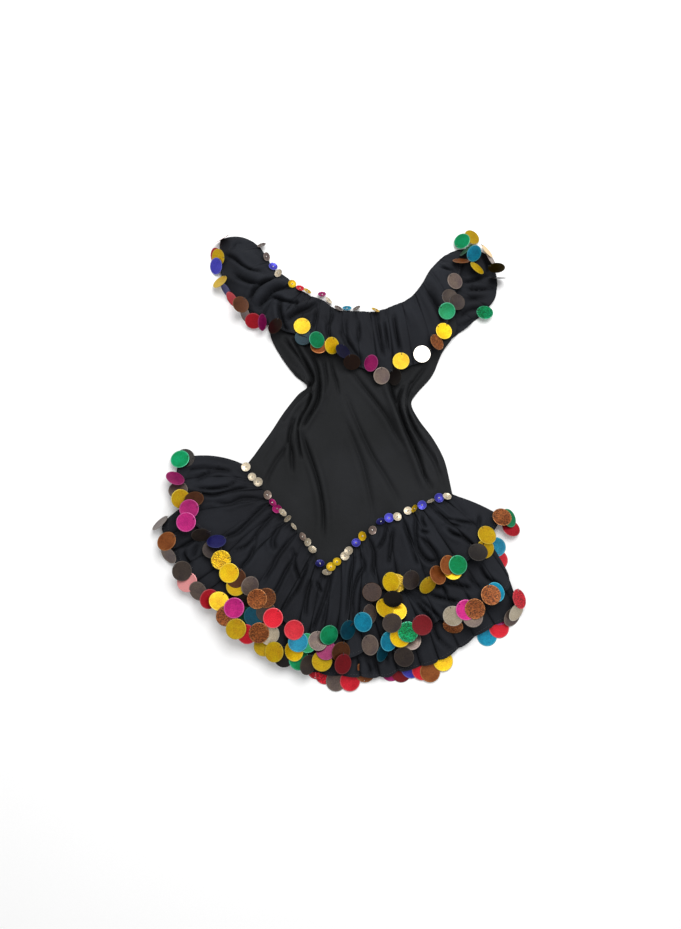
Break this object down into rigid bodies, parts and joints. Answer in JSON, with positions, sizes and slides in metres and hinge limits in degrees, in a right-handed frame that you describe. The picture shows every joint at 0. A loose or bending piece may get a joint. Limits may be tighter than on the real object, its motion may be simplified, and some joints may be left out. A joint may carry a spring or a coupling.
{
  "type": "dance dress",
  "caption": "Off-shoulder knit dance dress laid flat, with a gathered neck flounce, a pointed dropped hip seam and a two-tier flounce skirt edged with large round paillettes.",
  "frame": {"origin": "centre of the bounding box, at the flat underside that rests on the surface", "axes": "+Z out of the front of the dress, +Y from the hem towards the neckline, +X towards the wearer's left side"},
  "size_m": [0.6187, 0.8059, 0.0324],
  "materials": {
    "body_knit": "matte jersey knit",
    "flounce_knit": "matte jersey knit with a soft sheen",
    "sewing_thread": "matte thread",
    "paillette_yellow": "metallic foil under clear film",
    "paillette_red": "metallic foil under clear film",
    "paillette_green": "glitter foil under clear film",
    "paillette_blue": "metallic foil under clear film",
    "paillette_teal": "metallic foil under clear film",
    "paillette_magenta": "metallic foil under clear film",
    "paillette_copper": "glitter foil under clear film",
    "paillette_gray": "smoke film with glitter",
    "paillette_pearl": "iridescent mirror film",
    "sequin_bead": "clear seed bead"
  },
  "bodies": {
    "root": {"body_front": "body_knit", "body_back": "body_knit", "neck_flounce_front": "flounce_knit", "neck_flounce_back": "flounce_knit", "skirt_upper_front": "flounce_knit", "skirt_upper_back": "flounce_knit", "skirt_lower_front": "flounce_knit", "skirt_lower_back": "flounce_knit"}
  },
  "joints": []
}
